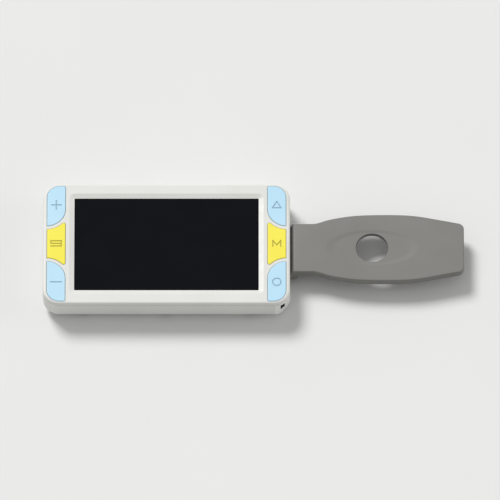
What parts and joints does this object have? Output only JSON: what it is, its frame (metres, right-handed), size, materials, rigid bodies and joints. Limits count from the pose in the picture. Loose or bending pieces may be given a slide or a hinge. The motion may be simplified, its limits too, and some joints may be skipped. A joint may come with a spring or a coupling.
{
  "type": "handheld electronic video magnifier",
  "caption": "Handheld electronic magnifier for low vision: a flat case with a wide display between large keys, a rear camera and a fold-out handle.",
  "frame": {"origin": "middle of the base of the box round the whole magnifier with its handle folded out, on the plane its feet rest on", "axes": "+X along the length, from the case to the end of the handle; +Y towards the top side of the display; +Z out of the display"},
  "size_m": [0.2534, 0.0822, 0.0193],
  "materials": {
    "case_plastic": "fine satin off-white moulding",
    "key_blue": "satin pale blue moulding",
    "key_yellow": "satin yellow moulding",
    "handle_plastic": "satin warm grey moulding",
    "display_glass": "gloss black window",
    "panel_glass": "dark display glass",
    "panel_metal": "pressed sheet",
    "foam": "soft black foam",
    "board_green": "solder mask",
    "chip_black": "moulded epoxy",
    "switch_black": "moulded nylon",
    "switch_stem": "moulded nylon",
    "flex": "amber film",
    "socket_white": "moulded nylon",
    "battery_wrap": "wrapped metal-skinned cell",
    "lead_red": "insulated wire",
    "lead_black": "insulated wire",
    "screw_steel": "plated",
    "pin_steel": "ground",
    "pin_black": "blackened",
    "washer": "wear-resistant polymer",
    "socket_metal": "nickel plated",
    "socket_black": "moulded",
    "lamp": "clear light pipe",
    "camera_black": "moulded",
    "lens": "coated glass",
    "camera_pane": "clear pane",
    "foot_rubber": "soft grey rubber"
  },
  "bodies": {
    "case": {"front_cover": "case_plastic", "rear_shell": "case_plastic", "display_window": "display_glass", "display_gasket": "foam", "lcd_glass": "panel_glass", "lcd_frame": "panel_metal", "lcd_flex": "flex", "lcd_connector": "socket_white", "main_board": "board_green", "processor": "chip_black", "memory_chip": "chip_black", "power_chip": "chip_black", "board_parts": "chip_black", "buzzer": "switch_black", "left_key_board": "board_green", "right_key_board": "board_green", "switch_housings": "switch_black", "battery": "battery_wrap", "battery_foam": "foam", "battery_lead_red": "lead_red", "battery_lead_black": "lead_black", "battery_plug": "socket_white", "camera_board": "board_green", "lens_holder": "camera_black", "lens_barrel": "camera_black", "camera_lens": "lens", "camera_window": "camera_pane", "camera_lamps": "lamp", "camera_flex": "flex", "camera_connector": "socket_white", "camera_screws": "screw_steel", "board_screws": "screw_steel", "case_screws": "screw_steel", "usb_port": "socket_metal", "usb_tongue": "socket_black", "av_jack": "socket_black", "charge_lamp": "lamp", "rubber_feet": "foot_rubber", "strap_post": "pin_black", "strap_eyelet": "socket_black", "hinge_pin": "pin_steel", "hinge_washers": "washer"},
    "handle_arm": {"handle": "handle_plastic"},
    "key_plus_body": {"key_plus": "key_blue", "stem_plus": "switch_stem"},
    "key_freeze_body": {"key_freeze": "key_yellow", "stem_freeze": "switch_stem"},
    "key_minus_body": {"key_minus": "key_blue", "stem_minus": "switch_stem"},
    "key_colour_body": {"key_colour": "key_blue", "stem_colour": "switch_stem"},
    "key_mode_body": {"key_mode": "key_yellow", "stem_mode": "switch_stem"},
    "key_power_body": {"key_power": "key_blue", "stem_power": "switch_stem"}
  },
  "joints": [
    {"name": "handle_fold", "type": "hinge", "parent": "case", "child": "handle_arm", "pos_m": [0.0184, 0, 0.00752], "axis": [0, 1, 0], "range_deg": [0, 180]},
    {"name": "press_plus", "type": "slide", "parent": "case", "child": "key_plus_body", "axis": [0, 0, -1], "range_m": [0, 0.0004], "stiffness_N_per_m": 2500},
    {"name": "press_freeze", "type": "slide", "parent": "case", "child": "key_freeze_body", "axis": [0, 0, -1], "range_m": [0, 0.0004], "stiffness_N_per_m": 2500},
    {"name": "press_minus", "type": "slide", "parent": "case", "child": "key_minus_body", "axis": [0, 0, -1], "range_m": [0, 0.0004], "stiffness_N_per_m": 2500},
    {"name": "press_colour", "type": "slide", "parent": "case", "child": "key_colour_body", "axis": [0, 0, -1], "range_m": [0, 0.0004], "stiffness_N_per_m": 2500},
    {"name": "press_mode", "type": "slide", "parent": "case", "child": "key_mode_body", "axis": [0, 0, -1], "range_m": [0, 0.0004], "stiffness_N_per_m": 2500},
    {"name": "press_power", "type": "slide", "parent": "case", "child": "key_power_body", "axis": [0, 0, -1], "range_m": [0, 0.0004], "stiffness_N_per_m": 2500}
  ]
}
